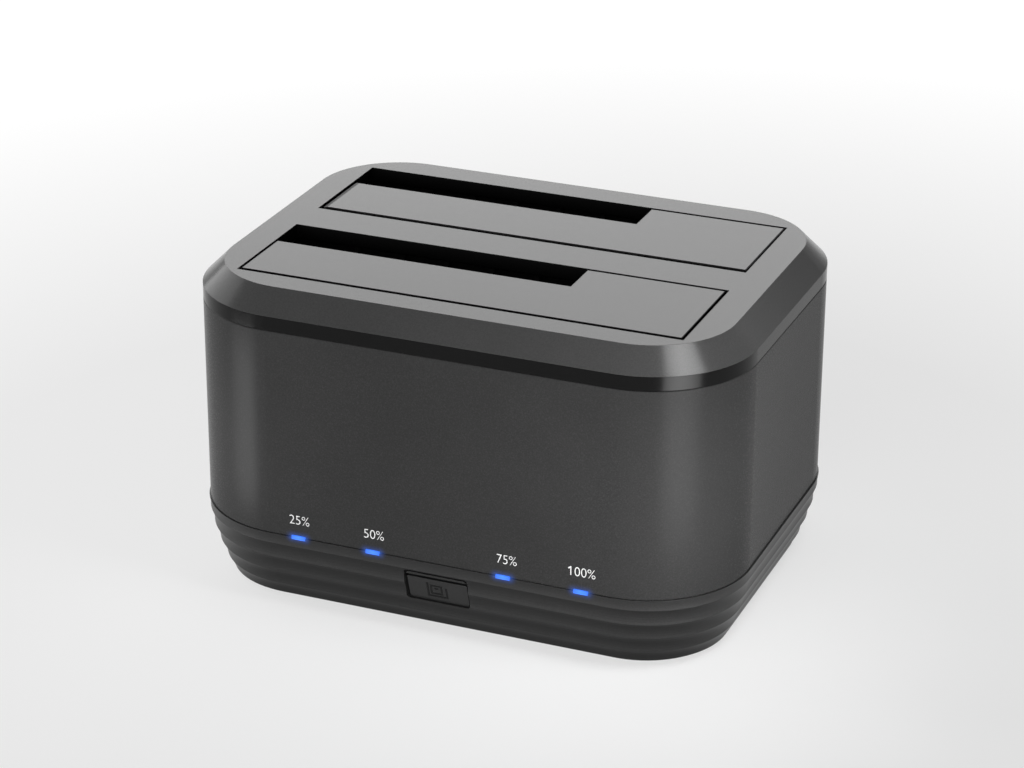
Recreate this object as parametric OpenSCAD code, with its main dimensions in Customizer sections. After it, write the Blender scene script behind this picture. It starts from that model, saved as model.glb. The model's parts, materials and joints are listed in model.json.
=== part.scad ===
// Docking station for two hard drives: a fluted base, a plain middle shell and a
// chamfered cap whose two sprung flaps fold down as a drive is pushed in.
// Millimetres. The origin is on the table under the middle of the housing,
// +Z is up and the front faces -Y.

/* [Drive bays] */
// Length of each bay opening, for a drive 101.6 wide
bay_w = 104; // [103.5:0.1:110]
// Depth of each bay opening, for a drive 26.1 thick and the folded flap
bay_d = 30; // [29.8:0.1:34]
// Strip of the cap between the two bay openings
bay_web = 11.4; // [10.8:0.1:20]
// From the front of the housing to the front bay opening
front_land = 11.4; // [11:0.1:18]
// From the rear bay opening to the back of the housing
rear_land = 12.4; // [12:0.1:20]
// From each end of a bay opening to the side of the housing
side_land = 12.3; // [12:0.1:18]
// Length of the flap's notch, for a drive 69.9 wide
notch_w = 71.5; // [70.5:0.1:73]
// Depth of the flap's notch
notch_d = 11.2; // [10:0.1:14]
// Wall of the bay liners
bay_wall = 1.5; // [1.2:0.1:1.8]
// Floor of the bay liners
bay_floor = 1.6; // [1.4:0.1:2.4]
// Height of the drive's seat above the circuit board
seat_rise = 5.2; // [4.8:0.1:8]

/* [Housing] */
// Corner radius of the housing seen from above
corner_r = 24.2; // [20:0.2:25]
// Wall of the shell and the cap
wall = 2.2; // [1.8:0.1:2.6]
// Height of the fluted base
base_h = 17.7; // [17:0.1:22]
// Height of the plain middle shell
shell_h = 48.8; // [44:0.2:60]
// Height of the upright band round the cap
cap_band_h = 3.4; // [2.6:0.1:5]
// Width and height of the cap's chamfer
cap_chamfer = 5; // [4:0.1:6]
// Thickness of the cap's top plate
cap_plate = 3.4; // [3.2:0.1:4.2]
// Height of the tongues that locate cap, shell and base
tongue_h = 2.5; // [1.5:0.1:3]
// Thickness of those tongues
tongue_t = 1.5; // [1.2:0.1:1.8]

/* [Fluted base] */
// How far the base draws in from its top edge to its foot
base_draw = 5.3; // [3:0.1:6]
// How far the top edge of the base stands proud of the shell
base_lip = 0.3; // [0.1:0.05:0.8]
// Power of the curve along which the base draws in
base_curve = 1.6; // [1.2:0.1:2.2]
// Height from one flute's ridge to the next
flute_pitch = 3.9; // [3:0.05:6]
// Height of the lowest ridge above the foot of the base
flute_first = 3.55; // [1.5:0.05:4.5]
// Depth of each flute
flute_depth = 0.3; // [0.2:0.02:0.5]
// Rounding of the base's lower edge
base_edge_r = 0.8; // [0.5:0.1:1.5]
// Thickness of the base's wall
base_wall = 2.4; // [1.8:0.1:3]
// Thickness of the base's floor
floor_t = 2.4; // [2:0.1:3]

/* [Flaps] */
// Gap in front of each flap and behind it
flap_gap = 0.85; // [0.6:0.05:1]
// Gap at each end of a flap
flap_end_gap = 0.65; // [0.5:0.05:1]
// Distance that the rear flap sits to the right of its opening's middle
flap_play = 0.3; // [0:0.05:0.35]
// Thickness of a flap
flap_t = 1.8; // [1.6:0.05:1.85]
// Depth of the hinge axis below the top
hinge_drop = 1.9; // [1.9:0.05:2]
// Distance of the hinge axis from the front of the bay opening
hinge_set = 1.5; // [1.5:0.05:1.7]
// Diameter of the hinge pin
pin_dia = 1.2; // [1:0.05:1.3]
// Length of hinge pin held in the cap at each end
pin_bite = 3.4; // [2.5:0.1:4]
// Wall of the flap's hinge barrel
barrel_wall = 0.6; // [0.5:0.02:0.62]
// Length of the ledge that stops a flap at the top
stop_len = 1.5; // [1.2:0.05:1.6]

/* [Flap springs] */
// Wire of the torsion springs
spring_wire = 0.4; // [0.3:0.02:0.4]
// Number of full turns
spring_turns = 5; // [3:1:7]
// Distance between turns along the pin
spring_pitch = 0.86; // [0.82:0.02:1]
// Length of each straight leg
spring_leg = 8; // [6:0.5:10]

/* [Front controls] */
// Width of the opening for the clone button
button_w = 15.3; // [12:0.1:18]
// Height of that opening
button_h = 8; // [7:0.1:8]
// Gap above the clone button and below it
button_gap = 0.3; // [0.25:0.05:0.6]
// Gap at each end of the clone button
button_end_gap = 0.55; // [0.4:0.05:0.7]
// Distance that the clone button sits to the right of its opening's middle
button_play = 0.2; // [0:0.05:0.25]
// Travel of the clone button
button_travel = 0.5; // [0.3:0.05:0.6]
// Height of the lip along the top of the button
button_lip_h = 0.5; // [0.4:0.1:1]
// Height of the groove under that lip
button_groove = 0.9; // [0.4:0.1:1.2]
// Distance that the button's face lies back from the base at its upper edge
button_set = 0.4; // [0.2:0.05:0.6]
// Distance that it lies back further at its lower edge
button_lean = 0.25; // [0.2:0.05:0.8]
// Distance from the middle to the inner status lights
light_inner = 15.5; // [13:0.1:18]
// Distance from the middle to the outer status lights
light_outer = 33.6; // [24:0.1:36]
// Distance that the row of lights sits to the right of the middle
light_offset = 0.7; // [0:0.1:1.5]
// Width of a status light
light_w = 3.3; // [2.5:0.1:5]
// Height of a status light
light_h = 0.9; // [0.8:0.05:1.2]

/* [Circuit board] */
// Thickness of the circuit board
board_t = 1.6; // [1.2:0.1:2]
// Height of the status LEDs
led_h = 0.8; // [0.6:0.05:1]
// Length of a drive socket
sata_w = 44; // [43:0.1:46]
// Depth of a drive socket
sata_d = 6; // [5.4:0.1:6.4]
// Height of a drive socket
sata_h = 10; // [9:0.1:12]

/* [Rear ports] */
// Width of the flat panel let into the back of the base
panel_w = 62; // [58:0.5:70]
// Depth of that panel below the widest outline
panel_set = 4.4; // [4.2:0.1:5]
// Thickness of the panel
panel_t = 2; // [1.6:0.1:2.4]
// Width of the USB socket
usb_w = 12; // [11.8:0.1:13]
// Height of the USB socket
usb_h = 11; // [10.8:0.1:11.4]
// Sheet of the USB socket's shell
usb_sheet = 0.4; // [0.3:0.05:0.5]
// Bore of the power inlet
jack_bore = 6.4; // [6:0.1:6.8]
// Centre pin of the power inlet
jack_pin_dia = 2; // [1.6:0.1:2.5]
// Width of the power switch's bezel
switch_w = 15.4; // [15:0.1:17]
// Height of the power switch's bezel
switch_h = 10.4; // [10:0.1:10.8]
// Angle between the two positions of the rocker
rocker_swing = 14; // [8:1:16]

/* [Feet and screws] */
// How far the feet stand below the base
foot_drop = 0.5; // [0.4:0.1:1.5]
// Diameter of a rubber foot
foot_dia = 12; // [9:0.5:13]
// Depth of a foot's recess in the base
foot_sunk = 1.2; // [0.8:0.1:1.4]
// Diameter of the base screws
base_screw_dia = 2.6; // [2:0.1:3]
// Diameter of the bay screws
bay_screw_dia = 2.2; // [1.8:0.1:2.4]

/* [Hidden] */
$fn = 48;

// Clearances
fit = 0.15;
snug = 0.02;
running = 0.06;
clear = 0.3;
// How far a cut runs past the face it opens, and the least width of a face
past = 1;
least_face = 0.1;

// Plan of the housing
housing_w = bay_w + 2 * side_land;
housing_d = front_land + 2 * bay_d + bay_web + rear_land;
core_w = housing_w - 2 * corner_r;
core_d = housing_d - 2 * corner_r;
front_bay_y = front_land - housing_d / 2;
rear_bay_y = front_bay_y + bay_d + bay_web;
tongue_out = wall + fit;
tongue_in = tongue_out + tongue_t;
seam_bevel = 0.2;

// Heights
z_base = foot_drop;
z_floor = z_base + floor_t;
z_seam = z_base + base_h;
z_rim = z_seam + shell_h;
z_chamfer = z_rim + cap_band_h;
z_top = z_chamfer + cap_chamfer;
z_plate = z_top - cap_plate;
board_top = z_seam - led_h / 2;
board_under = board_top - board_t;
z_seat = board_top + seat_rise;
port_z = board_under - usb_h / 2;
button_drop = 4.75;
button_z = board_under - button_drop;

// Profile of the base, height measured from its foot: sharp ridges with a hollow between each two
flute_steps = 6;
flute_least = 1;
flute_ridges = 1 + floor((base_h - flute_first - flute_least) / flute_pitch);
ridges = concat([0], [for (k = [0:flute_ridges - 1]) flute_first + k * flute_pitch], [base_h]);

function draw_in(h) = base_lip - base_draw * pow(1 - h / base_h, base_curve);
function edge_round(h) =
    h < base_edge_r ? base_edge_r - sqrt(pow(base_edge_r, 2) - pow(base_edge_r - h, 2)) : 0;
function flute_cut(h, low, high) = 4 * flute_depth * (h - low) * (high - h) / pow(flute_pitch, 2);
base_profile = concat(
    [for (i = [0:len(ridges) - 2], k = [0:flute_steps - 1])
        let (low = ridges[i], high = ridges[i + 1], h = low + (high - low) * k / flute_steps)
        [draw_in(h) - flute_cut(h, low, high) - edge_round(h), z_base + h]],
    [[base_lip, z_seam]]);

// Profile of the hollow inside the base
cavity_steps = 4;
cavity_profile = concat(
    [for (k = [0:cavity_steps])
        let (h = floor_t + (base_h - floor_t) * k / cavity_steps)
        [min(draw_in(h) - base_wall, -tongue_in), z_base + h]],
    [[-tongue_in, z_seam + tongue_h + past]]);

// Hinges
pin_r = pin_dia / 2;
barrel_r = pin_r + running + barrel_wall;
hinge_z = z_top - hinge_drop;
flap_w = bay_w - 2 * flap_end_gap;
stop_gap = 0.2;
stop_t = 0.8;
stop_side = 2;
notch_x = notch_w - bay_w / 2;

// Springs
spring_r = pin_r + fit + spring_wire / 2;
spring_from_notch = 7;
spring_x = notch_x + spring_from_notch;
spring_rings = 8;
spring_sides = 6;
spring_lift = 4;
spring_span = spring_turns * spring_pitch;
spring_room = spring_r + spring_wire / 2 + clear;

// Bay liners
bay_end_gap = 1;
bay_front_gap = 0.3;
bay_rear_gap = 1.2;
liner_w = bay_w + 2 * bay_end_gap;
liner_d = bay_d + bay_front_gap + bay_rear_gap;
rib_w = 1;
rib_proud = 0.8;
rib_pitch = 11;
rib_first = 4;
ear_t = 2.2;
ear_half = 3.4;
ear_drop = 6;
bay_boss_r = 2.5;
bay_boss_x = liner_w / 2 + bay_wall + clear + bay_boss_r;
ear_z = z_plate - ear_drop;

// Screw columns
column_from_end = 4;
column_x = bay_w / 2 - column_from_end;
column_r = 4.4;
column_web = 6;
liner_boss_r = 3.6;
column_in = 7.3;
column_y_front = front_bay_y + bay_d - column_in;
column_y_rear = rear_bay_y + column_in;
base_screw_r = base_screw_dia / 2;
head_bevel = 0.4;
base_head_r = 2.6;
base_head_h = 2;
screw_bite = 4.6;
bay_screw_r = bay_screw_dia / 2;
bay_head_r = 2.2;
bay_head_h = 1.6;
bay_screw_bite = 4.4;

// Circuit board and what it carries
board_gap = 2.25;
board_front = -(housing_d / 2 - tongue_in - board_gap);
panel_y = housing_d / 2 - panel_set;
board_rear = panel_y - panel_t - clear;
board_half_w = housing_w / 2 - tongue_in - board_gap;
board_r = 14;
drive_key = 30.1;
drive_side_gap = 1.2;
sata_x = drive_key + drive_side_gap - bay_w / 2;
sata_inset = 4.2;
sata_slot_depth = 6;
contact_pitch = 1.27;
contact_w = 0.7;
contact_t = 0.3;
signal_ways = 7;
power_ways = 15;

// Clone button and its switch
button_seat_in = 5;
button_seat = -(housing_d / 2 - button_seat_in);
button_pad = 3;
button_pad_w = button_w + 2 * button_pad;
button_flange = 1.2;
button_flange_over = 1;
button_r = 0.9;
button_groove_d = 1.1;
switch_face = 6.2;
switch_depth = 3.6;
plunger_r = 1.7;
plunger_out = 1.85;
plunger_in = 1;

// Light pipes
pipe_end = -(housing_d / 2 + base_lip);
pipe_back = board_front - fit;
pipe_shoulder = 0.7;
pipe_shoulder_w = light_w + 2 * pipe_shoulder;
pipe_shoulder_t = 1;
led_d = 1.4;
led_w = 3;
pipe_lights = [for (x = [-light_outer, -light_inner, light_inner, light_outer]) x + light_offset];

// Rear ports
usb_x = 0;
jack_x = -20;
switch_x = 21;
port_proud = 0.4;
usb_depth = 17;
usb_mouth_depth = 9;
jack_r = 4;
jack_body_w = 9;
jack_body_h = 10.4;
jack_body_d = 12;
jack_bore_depth = 10;
jack_pin_back = 0.8;
jack_pin_bevel = 0.4;
jack_drop = 5.4;
jack_z = board_under - jack_drop;
bezel_t = 1.2;
bezel_r = 0.8;
bezel_over = 1.2;
bezel_over_h = 0.8;
switch_body_w = switch_w - 2 * bezel_over;
switch_body_h = switch_h - 2 * bezel_over_h;
switch_body_d = 9;
switch_wall = 0.7;
switch_cheek = 0.9;
rocker_r = switch_body_w / 2 - switch_wall - clear;
rocker_half_h = switch_body_h / 2 - switch_cheek - clear;
rocker_axle_r = 0.9;
rocker_axle_bite = 0.4;
rocker_axle_y = panel_y - clear;
terminal_at = 3;
terminal_in = 2.5;
terminal_w = 2;
terminal_t = 0.8;
rocker_rise = 1.4;
rocker_back = 2.2;

// Feet
foot_r = foot_dia / 2;
foot_corner = 0.6;
foot_from_core = 7.8;

// Sweeps a profile of [offset from the housing's outline, height] round the housing
module swept(points) {
    section = [for (p = points) [corner_r + p[0], p[1]]];
    for (i = [0:3]) {
        reach = i % 2 == 0 ? core_w : core_d;
        run = i % 2 == 0 ? core_d : core_w;
        rotate(90 * i)
            translate([reach / 2, run / 2, 0]) {
                rotate_extrude(angle = 90) polygon(section);
                rotate([90, 0, 0]) linear_extrude(run) polygon(section);
            }
    }
}

// The same, filled to the middle: the profile runs from its lowest to its highest point
module swept_solid(points) {
    low = points[0][1];
    high = points[len(points) - 1][1];
    swept(concat([[-corner_r, low]], points, [[-corner_r, high]]));
    translate([-core_w / 2, -core_d / 2, low]) cube([core_w, core_d, high - low]);
}

function span(a, b) = [min(a, b), max(a, b)];

module block(x, y, z) {
    translate([x[0], y[0], z[0]]) cube([x[1] - x[0], y[1] - y[0], z[1] - z[0]]);
}

module rounded_rect(w, h, r) {
    square([w - 2 * r, h], center = true);
    square([w, h - 2 * r], center = true);
    for (sx = [-1, 1], sy = [-1, 1])
        translate([sx * (w / 2 - r), sy * (h / 2 - r)]) circle(r);
}

// An outline in X and Z, pushed back along +Y from the given place
module along_y(y_from, y_to) {
    translate([0, y_to, 0]) rotate([90, 0, 0]) linear_extrude(y_to - y_from) children();
}

module rod_x(x_from, x_to, r) {
    translate([x_from, 0, 0]) rotate([0, 90, 0]) cylinder(r = r, h = x_to - x_from);
}

module screw(head_r, head_h, shank_r, length) {
    rotate_extrude()
        polygon([[0, 0], [head_r - head_bevel, 0], [head_r, head_bevel], [head_r, head_h],
            [shank_r, head_h], [shank_r, head_h + length], [0, head_h + length]]);
}

module at_columns() {
    for (sx = [-1, 1], y = [column_y_front, column_y_rear])
        translate([sx * column_x, y, 0]) children();
}

// Cap with its two bay openings
module cap_body() {
    slant = wall * sqrt(2);
    inner_top = z_plate - z_chamfer + slant;
    profile = [
        [-seam_bevel, z_rim], [0, z_rim + seam_bevel], [0, z_chamfer], [-cap_chamfer, z_top],
        [-corner_r, z_top], [-corner_r, z_plate],
        [-max(inner_top, tongue_in + least_face), z_plate],
        [-tongue_in, z_plate - max(inner_top - tongue_in, least_face)],
        [-tongue_in, z_rim - tongue_h], [-tongue_out, z_rim - tongue_h], [-tongue_out, z_rim]];
    swept(profile);
    translate([-core_w / 2, -core_d / 2, z_plate]) cube([core_w, core_d, cap_plate]);
    for (sx = [-1, 1], y = [front_bay_y, rear_bay_y])
        translate([sx * bay_boss_x, y + bay_d / 2, ear_z]) cylinder(r = bay_boss_r, h = ear_drop + past);
}

module bay_cut(y) {
    pin_half = bay_w / 2 + pin_bite + snug;
    block([-bay_w / 2, bay_w / 2], [y, y + bay_d], [z_plate - past, z_top + past]);
    // Undercut that takes the flap's stop ledge
    block([notch_x + stop_side - clear, bay_w / 2 - stop_side + clear],
        [y + bay_d - past, y + bay_d + stop_len - flap_gap + clear],
        [z_plate - past, z_top - flap_t + stop_t + stop_gap]);
    translate([0, y + hinge_set, hinge_z]) rod_x(-pin_half, pin_half, pin_r + snug);
    // Slot that holds the spring's fixed leg
    translate([spring_x, y + hinge_set, hinge_z])
        block([-spring_wire, spring_wire], [-spring_leg / 2 - clear, 0],
            [z_plate - past - hinge_z, -spring_r + spring_wire]);
    for (sx = [-1, 1])
        translate([sx * bay_boss_x, y + bay_d / 2, ear_z - past])
            cylinder(r = bay_screw_r + snug, h = past + bay_screw_bite + clear);
}

module top_cap() {
    color("#4b4c4e")
        difference() {
            cap_body();
            bay_cut(front_bay_y);
            bay_cut(rear_bay_y);
        }
}

// Plain sleeve between base and cap, notched for the lights
module middle_shell() {
    color("#3f4042")
        difference() {
            swept([[-wall, z_seam], [-seam_bevel, z_seam], [0, z_seam + seam_bevel],
                [0, z_rim - seam_bevel], [-seam_bevel, z_rim], [-wall, z_rim]]);
            for (x = pipe_lights) light_window(x);
        }
}

module light_window(x) {
    block([x - light_w / 2 - snug, x + light_w / 2 + snug],
        [pipe_end - past, -housing_d / 2 + tongue_in + clear],
        [z_seam - light_h / 2 - snug, z_seam + light_h / 2 + snug]);
}

// Base: fluted outside, hollow inside, with columns for the screws
module base_body() {
    swept_solid(base_profile);
    swept([[-tongue_out, z_seam - past], [-tongue_out, z_seam + tongue_h],
        [-tongue_in, z_seam + tongue_h], [-tongue_in, z_seam - past]]);
}

module base_hollow() {
    difference() {
        swept_solid(cavity_profile);
        at_columns() translate([0, 0, z_base]) cylinder(r = column_r, h = board_under - z_base);
        // Flat seat behind the clone button
        block([-button_pad_w / 2, button_pad_w / 2], [-housing_d, button_seat],
            [z_base, board_under - clear]);
        // Port panel
        block([-panel_w / 2 - panel_t, panel_w / 2 + panel_t], [panel_y - panel_t, housing_d],
            [z_base, z_seam]);
    }
}

module port_holes() {
    through = [panel_y - panel_t - past, panel_y + past];
    block([usb_x - usb_w / 2 - fit, usb_x + usb_w / 2 + fit], through,
        [board_under - usb_h - fit, board_under + fit]);
    translate([jack_x, 0, jack_z]) along_y(through[0], through[1]) circle(jack_r + fit);
    translate([switch_x, 0, port_z])
        along_y(through[0], through[1])
            square([switch_body_w + 2 * fit, switch_body_h + 2 * fit], center = true);
}

module base_tray() {
    color("#353638")
        difference() {
            base_body();
            base_hollow();
            block([-panel_w / 2, panel_w / 2], [panel_y, housing_d], [z_floor, z_seam]);
            port_holes();
            translate([0, 0, button_z])
                along_y(-housing_d, button_seat + past) rounded_rect(button_w, button_h, button_r);
            for (x = pipe_lights) light_window(x);
            at_columns() {
                cylinder(r = base_head_r + clear, h = board_under - column_web);
                cylinder(r = base_screw_r + fit, h = board_under + past);
            }
            at_feet() cylinder(r = foot_r + fit, h = z_base + foot_sunk);
        }
}

// Liner that guides a drive down to its socket
module bay_liner(y, column_at) {
    y_in = [y - bay_front_gap, y + bay_d + bay_rear_gap];
    y_out = [y_in[0] - bay_wall, y_in[1] + bay_wall];
    x_in = liner_w / 2;
    x_out = x_in + bay_wall;
    socket_y = y + bay_d - sata_inset;
    difference() {
        union() {
            difference() {
                block([-x_out, x_out], y_out, [z_seat - bay_floor, z_plate]);
                block([-x_in, x_in], y_in, [z_seat, z_plate + past]);
            }
            // Upright guide ribs on the rear wall
            for (x = [rib_first - bay_w / 2:rib_pitch:notch_x - rib_w])
                block([x - rib_w / 2, x + rib_w / 2], [y_in[1] - rib_proud, y_in[1] + bay_wall / 2],
                    [z_seat - bay_floor / 2, z_plate]);
            for (sx = [-1, 1]) {
                translate([sx * column_x, column_at, board_top])
                    cylinder(r = liner_boss_r, h = z_seat - bay_floor / 2 - board_top);
                // Ear for the screw into the cap
                block(span(sx * (x_out - bay_wall / 2), sx * (bay_boss_x + bay_boss_r)),
                    [y + bay_d / 2 - ear_half, y + bay_d / 2 + ear_half], [ear_z - ear_t, ear_z]);
            }
        }
        block([sata_x - sata_w / 2 - clear, sata_x + sata_w / 2 + clear],
            [socket_y - sata_d / 2 - clear, socket_y + sata_d / 2 + clear],
            [z_seat - bay_floor - past, z_seat + past]);
        for (sx = [-1, 1]) {
            translate([sx * column_x, column_at, board_top - past])
                cylinder(r = base_screw_r + snug, h = past + screw_bite + snug);
            translate([sx * bay_boss_x, y + bay_d / 2, ear_z - ear_t - past])
                cylinder(r = bay_screw_r + fit, h = ear_t + 2 * past);
        }
    }
}

module front_bay() {
    color("#1b1b1c") bay_liner(front_bay_y, column_y_front);
}

module rear_bay() {
    color("#1b1b1c") bay_liner(rear_bay_y, column_y_rear);
}

// Flap with its notch, hinge barrel and stop ledge
module flap(y, play) {
    left = play - flap_w / 2;
    right = play + flap_w / 2;
    y_front = y + flap_gap;
    y_rear = y + bay_d - flap_gap;
    y_notch = y + bay_d - notch_d;
    color("#4e4f51")
        difference() {
            union() {
                translate([0, 0, z_top - flap_t])
                    linear_extrude(flap_t)
                        polygon([[left, y_front], [right, y_front], [right, y_rear],
                            [notch_x, y_rear], [notch_x, y_notch], [left, y_notch]]);
                block([notch_x + stop_side, bay_w / 2 - stop_side], [y_rear - past, y_rear + stop_len],
                    [z_top - flap_t, z_top - flap_t + stop_t]);
                translate([0, y + hinge_set, hinge_z]) rod_x(left, right, barrel_r);
            }
            translate([0, y + hinge_set, hinge_z]) {
                rod_x(-bay_w, bay_w, pin_r + running);
                rod_x(spring_x - spring_wire - clear, spring_x + spring_span + spring_wire + clear,
                    spring_room);
            }
        }
}

module front_flap() {
    flap(front_bay_y, 0);
}

module rear_flap() {
    flap(rear_bay_y, flap_play);
}

module hinge_pin(y) {
    color("#b9bcc0")
        translate([0, y + hinge_set, hinge_z]) rod_x(-bay_w / 2 - pin_bite, bay_w / 2 + pin_bite, pin_r);
}

module front_hinge_pin() {
    hinge_pin(front_bay_y);
}

module rear_hinge_pin() {
    hinge_pin(rear_bay_y);
}

// Torsion spring: a leg in the cap, the turns round the pin, a leg under the flap
function spring_ring(k) =
    let (turn = k / spring_rings, angle = 360 * turn - 90)
    [turn * spring_pitch, spring_r * cos(angle), spring_r * sin(angle)];
spring_last = spring_turns * spring_rings;
spring_path = concat(
    [[0, -spring_leg / 2, -spring_r]],
    [for (k = [0:spring_last]) spring_ring(k)],
    [[spring_span, spring_leg * cos(spring_lift), -spring_r + spring_leg * sin(spring_lift)]]);

function unit(v) = v / norm(v);
function path_way(path, i) =
    unit(path[min(i + 1, len(path) - 1)] - path[max(i - 1, 0)]);
// Almost along the pin, so that no stretch of the wire runs parallel to it
wire_side = [1, 0, 0.001];
function path_ring(path, i, r, sides) =
    let (way = path_way(path, i), side = unit(cross(way, wire_side)), over = cross(way, side))
    [for (s = [0:sides - 1]) path[i] + r * (cos(360 * s / sides) * side + sin(360 * s / sides) * over)];

module tube(path, r, sides) {
    count = len(path);
    points = [for (i = [0:count - 1]) each path_ring(path, i, r, sides)];
    skin = [for (i = [0:count - 2], s = [0:sides - 1])
        let (a = i * sides + s, b = i * sides + (s + 1) % sides)
        each [[a, b, b + sides], [a, b + sides, a + sides]]];
    ends = [for (s = [1:sides - 2])
        each [[0, s + 1, s], [(count - 1) * sides, (count - 1) * sides + s, (count - 1) * sides + s + 1]]];
    polyhedron(points, concat(skin, ends));
}

spring_gaps = [for (i = [0:spring_last], j = [0:spring_last]) if (j - i > spring_rings / 2)
    norm(spring_ring(j) - spring_ring(i)) - spring_wire];
echo(spring_least_gap = min(spring_gaps));

module flap_spring(y) {
    color("#c9ccd0")
        translate([spring_x, y + hinge_set, hinge_z]) tube(spring_path, spring_wire / 2, spring_sides);
}

module front_flap_spring() {
    flap_spring(front_bay_y);
}

module rear_flap_spring() {
    flap_spring(rear_bay_y);
}

// Circuit board on the columns
module main_board() {
    color("#1f5b3a")
        difference() {
            translate([0, (board_front + board_rear) / 2, board_under])
                linear_extrude(board_t) rounded_rect(2 * board_half_w, board_rear - board_front, board_r);
            at_columns()
                translate([0, 0, board_under - past])
                    cylinder(r = base_screw_r + fit, h = board_t + 2 * past);
        }
}

// Drive socket: a long block with two keyed slots
sata_slot_t = 2.6;
sata_key_t = 4.2;
sata_key_w = 1.6;
sata_slot_end = 1.1;
signal_w = signal_ways * contact_pitch + 2 * sata_slot_end;
power_w = power_ways * contact_pitch + 2 * sata_slot_end;
sata_rib = 1.6;
signal_x = sata_x - (signal_w + sata_rib + power_w) / 2;
power_x = signal_x + signal_w + sata_rib;

module sata_slot(x, w, y) {
    z_low = board_top + sata_h - sata_slot_depth;
    z_high = board_top + sata_h + past;
    block([x, x + w], [y - sata_slot_t / 2, y + sata_slot_t / 2], [z_low, z_high]);
    block([x, x + sata_key_w], [y - sata_slot_t / 2, y - sata_slot_t / 2 + sata_key_t], [z_low, z_high]);
}

module sata_socket(y) {
    color("#222224")
        difference() {
            block([sata_x - sata_w / 2, sata_x + sata_w / 2], [y - sata_d / 2, y + sata_d / 2],
                [board_top, board_top + sata_h]);
            sata_slot(signal_x, signal_w, y);
            sata_slot(power_x, power_w, y);
        }
}

module sata_contacts(y) {
    z_low = board_top + sata_h - sata_slot_depth;
    color("#c8a24a")
        for (row = [[signal_x, signal_w, signal_ways], [power_x, power_w, power_ways]])
            for (k = [0:row[2] - 1])
                translate([row[0] + row[1] / 2 + (k - (row[2] - 1) / 2) * contact_pitch,
                    y - sata_slot_t / 2, z_low])
                    block([-contact_w / 2, contact_w / 2], [0, contact_t], [0, sata_slot_depth - past]);
}

front_socket_y = front_bay_y + bay_d - sata_inset;
rear_socket_y = rear_bay_y + bay_d - sata_inset;

module front_sata_socket() {
    sata_socket(front_socket_y);
}

module rear_sata_socket() {
    sata_socket(rear_socket_y);
}

module front_sata_contacts() {
    sata_contacts(front_socket_y);
}

module rear_sata_contacts() {
    sata_contacts(rear_socket_y);
}

// Parts soldered to the board
chip_at = [22, 0];
crystal_at = [12, 6];
cap_at = [-36, 24];
cap_step = 9;
coil_at = [-24, 18];
coil_step = 10;
chip_w = 10;
chip_t = 1.4;
crystal_w = 11;
crystal_d = 4.6;
crystal_h = 3.5;
cap_dia = 6.3;
cap_len = 8;
coil_w = 7;
coil_h = 4;
coil_r = 1.5;

module bridge_chip() {
    color("#161617")
        translate([chip_at[0], chip_at[1], board_top])
            block([-chip_w / 2, chip_w / 2], [-chip_w / 2, chip_w / 2], [0, chip_t]);
}

module clock_crystal() {
    color("#c3c6c9")
        translate([crystal_at[0], crystal_at[1], board_under - crystal_h])
            linear_extrude(crystal_h) rounded_rect(crystal_w, crystal_d, crystal_d / 2 - snug);
}

module capacitors() {
    color("#26272b")
        for (k = [0:1])
            translate([cap_at[0], cap_at[1] - cap_step * k, board_under - cap_len])
                cylinder(d = cap_dia, h = cap_len);
}

module inductors() {
    color("#3b3a38")
        for (k = [0:1])
            translate([coil_at[0], coil_at[1] - coil_step * k, board_under - coil_h])
                linear_extrude(coil_h) rounded_rect(coil_w, coil_w, coil_r);
}

module led_chips() {
    color("#dfe9ff")
        for (x = pipe_lights)
            block([x - led_w / 2, x + led_w / 2], [board_front, board_front + led_d],
                [board_top, board_top + led_h]);
}

// Clear light pipe from an LED to the seam at the front
module light_pipe(x) {
    shoulder = -(housing_d / 2 - tongue_in - snug);
    color("#4f8dff") {
        block([x - light_w / 2, x + light_w / 2], [pipe_end, pipe_back],
            [z_seam - light_h / 2, z_seam + light_h / 2]);
        block([x - pipe_shoulder_w / 2, x + pipe_shoulder_w / 2], [shoulder, shoulder + pipe_shoulder_t],
            [z_seam - light_h / 2, z_seam + light_h / 2]);
    }
}

// Clone button: a leaning face, a groove above it and a lip in line with the base
module clone_button() {
    half_h = button_h / 2 - button_gap;
    foot_z = button_z - half_h;
    lip_z = button_z + half_h - button_lip_h;
    groove_z = lip_z - button_groove;
    flange_w = button_w + 2 * button_flange_over;
    flange_y = button_seat + clear;
    back_y = flange_y + button_flange / 2;
    face = [[-face_y(foot_z) + button_set + button_lean, foot_z],
        [-face_y(groove_z) + button_set, groove_z]];
    groove = [for (z = [groove_z, lip_z]) [-face_y(z) + button_set + button_groove_d, z]];
    lip = [for (z = [lip_z, button_z + half_h]) [-face_y(z), z]];
    color("#3a3b3d")
        union() {
            intersection() {
                translate([button_w, 0, 0])
                    rotate([90, 0, -90])
                        linear_extrude(2 * button_w)
                            polygon([for (p = concat([[back_y, foot_z]], face, groove, lip,
                                [[back_y, button_z + half_h]])) [-p[0], p[1]]]);
                translate([button_play, 0, button_z])
                    along_y(-housing_d, 0)
                        rounded_rect(button_w - 2 * button_end_gap, 2 * half_h, button_r - button_gap / 2);
            }
            block([-flange_w / 2, flange_w / 2], [flange_y, flange_y + button_flange],
                [button_z - button_h / 2 - button_flange_over, button_z + half_h]);
        }
}

function face_y(z) = housing_d / 2 + draw_in(z - z_base);

// Push switch that hangs under the front edge of the board
plunger_y = button_seat + clear + button_flange + running;
switch_y = plunger_y + plunger_out;

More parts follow.
